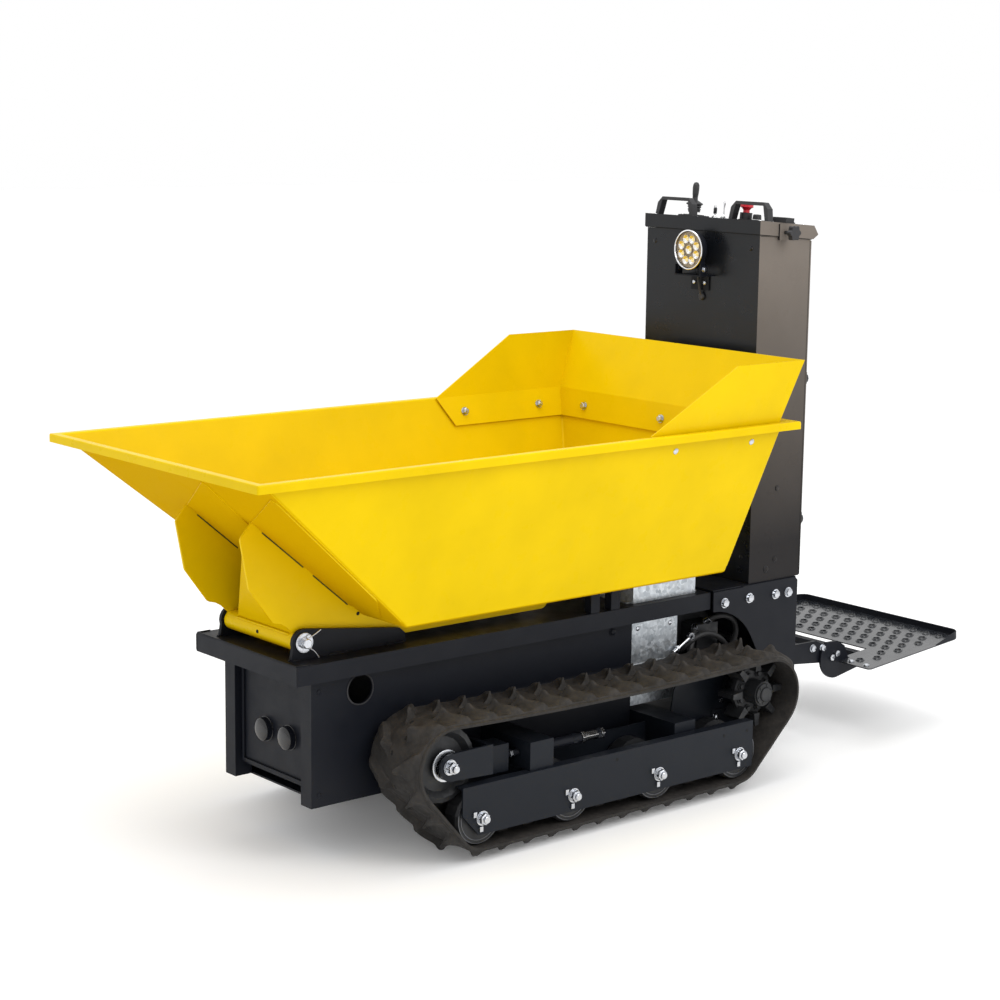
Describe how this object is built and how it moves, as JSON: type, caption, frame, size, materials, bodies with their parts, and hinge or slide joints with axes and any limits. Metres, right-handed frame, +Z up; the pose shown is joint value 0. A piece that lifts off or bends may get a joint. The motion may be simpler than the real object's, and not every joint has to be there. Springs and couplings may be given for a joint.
{
  "type": "tracked mini dumper",
  "caption": "Tracked walk-behind mini dumper with a front-tipping skip, bolted high back, control column with guarded joystick, work lamp and fold-up footplate",
  "frame": {"origin": "on the ground under the middle of the machine's bounding box", "axes": "+Z up, -Y towards the dumping end, +Y towards the operator's footplate, +X to the side with the clamp knob"},
  "size_m": [0.814, 2.278, 1.4155],
  "materials": {
    "deck_frame": "satin black powder coat",
    "chassis_box": "satin black powder coat",
    "front_panel": "satin black powder coat",
    "hydraulic_tank": "spangled galvanised sheet",
    "battery_pack": "black moulded",
    "pump_motor": "painted casting",
    "deck_tank": "spangled galvanised sheet",
    "rear_side_plate_right": "satin black powder coat",
    "rear_side_plate_left": "satin black powder coat",
    "rear_crossplate": "satin black powder coat",
    "pivot_pin": "bright zinc plate",
    "undercarriage_frame": "satin black powder coat",
    "track_plate_right": "satin black powder coat",
    "track_plate_left": "satin black powder coat",
    "track_belt_right": "moulded track rubber",
    "track_belt_left": "moulded track rubber",
    "drive_motor_right": "painted casting",
    "drive_motor_left": "painted casting",
    "drive_hose": "black moulded",
    "column_shell": "satin black powder coat",
    "control_head": "satin black powder coat",
    "lamp_bracket": "satin black powder coat",
    "guard_handle_right": "black moulded",
    "guard_handle_left": "black moulded",
    "joystick_base": "black moulded",
    "estop_base": "black moulded",
    "hour_meter": "black moulded",
    "bucket_body": "gloss yellow powder coat",
    "bucket_extension": "gloss yellow powder coat",
    "tipping_yoke": "gloss yellow powder coat",
    "cylinder_barrel": "satin black powder coat",
    "cylinder_rod": "polished",
    "rear_door": "satin black powder coat",
    "door_latch_upper": "black moulded",
    "door_latch_lower": "black moulded",
    "lamp_housing": "satin black powder coat",
    "lamp_lens": "clear lens over warm reflector",
    "joystick_gimbal": "bright zinc plate",
    "joystick_lever": "black moulded",
    "estop_button": "red moulded",
    "tip_toggle": "polished",
    "lamp_toggle": "polished",
    "speed_knob": "black moulded",
    "star_knob": "black moulded",
    "footplate_tray": "spangled galvanised sheet",
    "footplate_frame": "satin black powder coat",
    "drive_sprocket_right": "painted casting",
    "idler_fork_right": "satin black powder coat",
    "idler_right": "painted casting",
    "track_roller_right_1": "painted casting",
    "track_roller_right_2": "painted casting",
    "track_roller_right_3": "painted casting",
    "track_roller_right_4": "painted casting",
    "drive_sprocket_left": "painted casting",
    "idler_fork_left": "satin black powder coat",
    "idler_left": "painted casting",
    "track_roller_left_1": "painted casting",
    "track_roller_left_2": "painted casting",
    "track_roller_left_3": "painted casting",
    "track_roller_left_4": "painted casting"
  },
  "bodies": {
    "chassis": {"deck_frame": "deck_frame", "chassis_box": "chassis_box", "front_panel": "front_panel", "hydraulic_tank": "hydraulic_tank", "battery_pack": "battery_pack", "pump_motor": "pump_motor", "deck_tank": "deck_tank", "rear_side_plate_right": "rear_side_plate_right", "rear_side_plate_left": "rear_side_plate_left", "rear_crossplate": "rear_crossplate", "pivot_pin": "pivot_pin", "undercarriage_frame": "undercarriage_frame", "track_plate_right": "track_plate_right", "track_plate_left": "track_plate_left", "track_belt_right": "track_belt_right", "track_belt_left": "track_belt_left", "drive_motor_right": "drive_motor_right", "drive_motor_left": "drive_motor_left", "drive_hose": "drive_hose", "column_shell": "column_shell", "control_head": "control_head", "lamp_bracket": "lamp_bracket", "guard_handle_right": "guard_handle_right", "guard_handle_left": "guard_handle_left", "joystick_base": "joystick_base", "estop_base": "estop_base", "hour_meter": "hour_meter"},
    "skip": {"bucket_body": "bucket_body", "bucket_extension": "bucket_extension", "tipping_yoke": "tipping_yoke"},
    "tip_ram_barrel": {"cylinder_barrel": "cylinder_barrel"},
    "tip_ram_rod": {"cylinder_rod": "cylinder_rod"},
    "service_door": {"rear_door": "rear_door"},
    "latch_upper": {"door_latch_upper": "door_latch_upper"},
    "latch_lower": {"door_latch_lower": "door_latch_lower"},
    "work_lamp": {"lamp_housing": "lamp_housing", "lamp_lens": "lamp_lens"},
    "stick_gimbal": {"joystick_gimbal": "joystick_gimbal"},
    "stick": {"joystick_lever": "joystick_lever"},
    "stop_button": {"estop_button": "estop_button"},
    "tip_switch": {"tip_toggle": "tip_toggle"},
    "lamp_switch": {"lamp_toggle": "lamp_toggle"},
    "speed_dial": {"speed_knob": "speed_knob"},
    "clamp_knob": {"star_knob": "star_knob"},
    "footplate": {"footplate_tray": "footplate_tray", "footplate_frame": "footplate_frame"},
    "sprocket_right": {"drive_sprocket_right": "drive_sprocket_right"},
    "tensioner_right": {"idler_fork_right": "idler_fork_right"},
    "front_idler_right": {"idler_right": "idler_right"},
    "roller_right_1": {"track_roller_right_1": "track_roller_right_1"},
    "roller_right_2": {"track_roller_right_2": "track_roller_right_2"},
    "roller_right_3": {"track_roller_right_3": "track_roller_right_3"},
    "roller_right_4": {"track_roller_right_4": "track_roller_right_4"},
    "sprocket_left": {"drive_sprocket_left": "drive_sprocket_left"},
    "tensioner_left": {"idler_fork_left": "idler_fork_left"},
    "front_idler_left": {"idler_left": "idler_left"},
    "roller_left_1": {"track_roller_left_1": "track_roller_left_1"},
    "roller_left_2": {"track_roller_left_2": "track_roller_left_2"},
    "roller_left_3": {"track_roller_left_3": "track_roller_left_3"},
    "roller_left_4": {"track_roller_left_4": "track_roller_left_4"}
  },
  "joints": [
    {"name": "skip_tip", "type": "hinge", "parent": "chassis", "child": "skip", "pos_m": [0, -0.851, 0.49], "axis": [1, 0, 0], "range_deg": [0, 70]},
    {"name": "ram_swing", "type": "hinge", "parent": "chassis", "child": "tip_ram_barrel", "pos_m": [0, -0.75, 0.2], "axis": [1, 0, 0], "range_deg": [0, 16]},
    {"name": "ram_extend", "type": "slide", "parent": "tip_ram_barrel", "child": "tip_ram_rod", "axis": [0, 0.1289, 0.9917], "range_m": [0, 0.14]},
    {"name": "footplate_fold", "type": "hinge", "parent": "chassis", "child": "footplate", "pos_m": [0, 0.766, 0.221], "axis": [1, 0, 0], "range_deg": [0, 80]},
    {"name": "service_door_swing", "type": "hinge", "parent": "chassis", "child": "service_door", "pos_m": [-0.191, 0.6063, 0.9], "axis": [0, 0, -1], "range_deg": [-110, 0]},
    {"name": "latch_upper_turn", "type": "hinge", "parent": "service_door", "child": "latch_upper", "pos_m": [0.172, 0.6043, 0.947], "axis": [0, 1, 0], "range_deg": [0, 90]},
    {"name": "latch_lower_turn", "type": "hinge", "parent": "service_door", "child": "latch_lower", "pos_m": [0.172, 0.6043, 0.597], "axis": [0, 1, 0], "range_deg": [0, 90]},
    {"name": "lamp_tilt", "type": "hinge", "parent": "chassis", "child": "work_lamp", "pos_m": [0, 0.388, 1.2125], "axis": [1, 0, 0], "range_deg": [-10, 25]},
    {"name": "stick_pitch", "type": "hinge", "parent": "chassis", "child": "stick_gimbal", "pos_m": [-0.1037, 0.49507, 1.34265], "axis": [1, 0, 0], "range_deg": [-14, 14], "stiffness_Nm_per_rad": 0.6},
    {"name": "stick_roll", "type": "hinge", "parent": "stick_gimbal", "child": "stick", "pos_m": [-0.1037, 0.49507, 1.34265], "axis": [0, 0.9962, -0.0872], "range_deg": [-14, 14], "stiffness_Nm_per_rad": 0.6},
    {"name": "stop_press", "type": "slide", "parent": "chassis", "child": "stop_button", "axis": [0, -0.0872, -0.9962], "range_m": [0, 0.005]},
    {"name": "tip_switch_throw", "type": "hinge", "parent": "chassis", "child": "tip_switch", "pos_m": [-0.03, 0.49446, 1.33567], "axis": [1, 0, 0], "range_deg": [-14, 14], "stiffness_Nm_per_rad": 0.2},
    {"name": "lamp_switch_throw", "type": "hinge", "parent": "chassis", "child": "lamp_switch", "pos_m": [0, 0.49446, 1.33567], "axis": [1, 0, 0], "range_deg": [-14, 14]},
    {"name": "speed_dial_turn", "type": "hinge", "parent": "chassis", "child": "speed_dial", "pos_m": [0.113, 0.49403, 1.33069], "axis": [0, 0.0872, 0.9962], "range_deg": [0, 270]},
    {"name": "clamp_knob_turn", "type": "hinge", "parent": "chassis", "child": "clamp_knob", "pos_m": [0.23, 0.5, 1.3073], "axis": [1, 0, 0], "continuous": true},
    {"name": "sprocket_right_spin", "type": "hinge", "parent": "chassis", "child": "sprocket_right", "pos_m": [0.2775, 0.352, 0.222], "axis": [1, 0, 0], "continuous": true},
    {"name": "tensioner_right_slide", "type": "slide", "parent": "chassis", "child": "tensioner_right", "axis": [0, 1, 0], "range_m": [0, 0.005]},
    {"name": "idler_right_spin", "type": "hinge", "parent": "tensioner_right", "child": "front_idler_right", "pos_m": [0.2775, -0.614, 0.223], "axis": [1, 0, 0], "continuous": true},
    {"name": "roller_right_1_spin", "type": "hinge", "parent": "chassis", "child": "roller_right_1", "pos_m": [0.2775, -0.531, 0.097], "axis": [1, 0, 0], "continuous": true},
    {"name": "roller_right_2_spin", "type": "hinge", "parent": "chassis", "child": "roller_right_2", "pos_m": [0.2775, -0.27, 0.097], "axis": [1, 0, 0], "continuous": true},
    {"name": "roller_right_3_spin", "type": "hinge", "parent": "chassis", "child": "roller_right_3", "pos_m": [0.2775, -0.009, 0.097], "axis": [1, 0, 0], "continuous": true},
    {"name": "roller_right_4_spin", "type": "hinge", "parent": "chassis", "child": "roller_right_4", "pos_m": [0.2775, 0.252, 0.097], "axis": [1, 0, 0], "continuous": true},
    {"name": "sprocket_left_spin", "type": "hinge", "parent": "chassis", "child": "sprocket_left", "pos_m": [-0.2775, 0.352, 0.222], "axis": [1, 0, 0], "continuous": true},
    {"name": "tensioner_left_slide", "type": "slide", "parent": "chassis", "child": "tensioner_left", "axis": [0, 1, 0], "range_m": [0, 0.005]},
    {"name": "idler_left_spin", "type": "hinge", "parent": "tensioner_left", "child": "front_idler_left", "pos_m": [-0.2775, -0.614, 0.223], "axis": [1, 0, 0], "continuous": true},
    {"name": "roller_left_1_spin", "type": "hinge", "parent": "chassis", "child": "roller_left_1", "pos_m": [-0.2775, -0.531, 0.097], "axis": [1, 0, 0], "continuous": true},
    {"name": "roller_left_2_spin", "type": "hinge", "parent": "chassis", "child": "roller_left_2", "pos_m": [-0.2775, -0.27, 0.097], "axis": [1, 0, 0], "continuous": true},
    {"name": "roller_left_3_spin", "type": "hinge", "parent": "chassis", "child": "roller_left_3", "pos_m": [-0.2775, -0.009, 0.097], "axis": [1, 0, 0], "continuous": true},
    {"name": "roller_left_4_spin", "type": "hinge", "parent": "chassis", "child": "roller_left_4", "pos_m": [-0.2775, 0.252, 0.097], "axis": [1, 0, 0], "continuous": true}
  ],
  "couplings": [
    {"joint": "ram_swing", "follows": "skip_tip", "ratio": 0.214},
    {"joint": "ram_extend", "follows": "skip_tip", "m_per_rad": 0.112},
    {"joint": "idler_right_spin", "follows": "sprocket_right_spin", "ratio": 1},
    {"joint": "roller_right_1_spin", "follows": "sprocket_right_spin", "ratio": 1.3307},
    {"joint": "roller_right_2_spin", "follows": "sprocket_right_spin", "ratio": 1.3307},
    {"joint": "roller_right_3_spin", "follows": "sprocket_right_spin", "ratio": 1.3307},
    {"joint": "roller_right_4_spin", "follows": "sprocket_right_spin", "ratio": 1.3307},
    {"joint": "idler_left_spin", "follows": "sprocket_left_spin", "ratio": 1},
    {"joint": "roller_left_1_spin", "follows": "sprocket_left_spin", "ratio": 1.3307},
    {"joint": "roller_left_2_spin", "follows": "sprocket_left_spin", "ratio": 1.3307},
    {"joint": "roller_left_3_spin", "follows": "sprocket_left_spin", "ratio": 1.3307},
    {"joint": "roller_left_4_spin", "follows": "sprocket_left_spin", "ratio": 1.3307}
  ]
}
